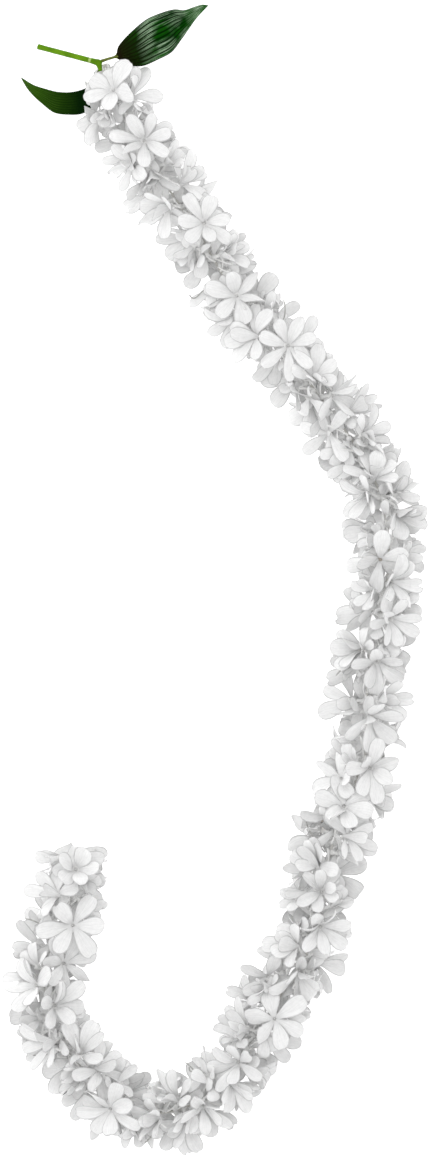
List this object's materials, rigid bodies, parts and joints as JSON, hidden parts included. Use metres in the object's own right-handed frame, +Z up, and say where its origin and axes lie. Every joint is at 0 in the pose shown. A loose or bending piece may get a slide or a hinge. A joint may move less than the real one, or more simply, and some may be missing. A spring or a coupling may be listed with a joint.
{
  "type": "flower lei",
  "caption": "Open-ended fresh lei of white blooms threaded back to back on one string, lying in a long hook, with a cut green leafy sprig tied to its upper end.",
  "frame": {"origin": "middle of the outline seen from above, on the surface that the lei lies on", "axes": "+Y up the long side of the hook towards the sprig, +Z up from the surface"},
  "size_m": [0.2782, 0.7472, 0.0558],
  "materials": {
    "petals": "soft matte petals",
    "string": "twisted thread",
    "stem": "smooth green stem",
    "leaf": "glossy leaf"
  },
  "bodies": {
    "root": {"bloom_pair_01": "petals", "bloom_pair_02": "petals", "bloom_pair_03": "petals", "bloom_pair_04": "petals", "bloom_pair_05": "petals", "bloom_pair_06": "petals", "bloom_pair_07": "petals", "bloom_pair_08": "petals", "bloom_pair_09": "petals", "bloom_pair_10": "petals", "bloom_pair_11": "petals", "bloom_pair_12": "petals", "bloom_pair_13": "petals", "bloom_pair_14": "petals", "bloom_pair_15": "petals", "bloom_pair_16": "petals", "bloom_pair_17": "petals", "bloom_pair_18": "petals", "bloom_pair_19": "petals", "bloom_pair_20": "petals", "bloom_pair_21": "petals", "bloom_pair_22": "petals", "bloom_pair_23": "petals", "bloom_pair_24": "petals", "bloom_pair_25": "petals", "bloom_pair_26": "petals", "bloom_pair_27": "petals", "bloom_pair_28": "petals", "bloom_pair_29": "petals", "bloom_pair_30": "petals", "bloom_pair_31": "petals", "bloom_pair_32": "petals", "bloom_pair_33": "petals", "bloom_pair_34": "petals", "bloom_pair_35": "petals", "bloom_pair_36": "petals", "bloom_pair_37": "petals", "bloom_pair_38": "petals", "bloom_pair_39": "petals", "bloom_pair_40": "petals", "bloom_pair_41": "petals", "bloom_pair_42": "petals", "bloom_pair_43": "petals", "bloom_pair_44": "petals", "bloom_pair_45": "petals", "bloom_pair_46": "petals", "bloom_pair_47": "petals", "bloom_pair_48": "petals", "bloom_pair_49": "petals", "bloom_pair_50": "petals", "bloom_pair_51": "petals", "bloom_pair_52": "petals", "string": "string", "sprig_tie": "string", "sprig_stem": "stem", "leaf_upper": "leaf", "leaf_lower": "leaf"}
  },
  "joints": []
}
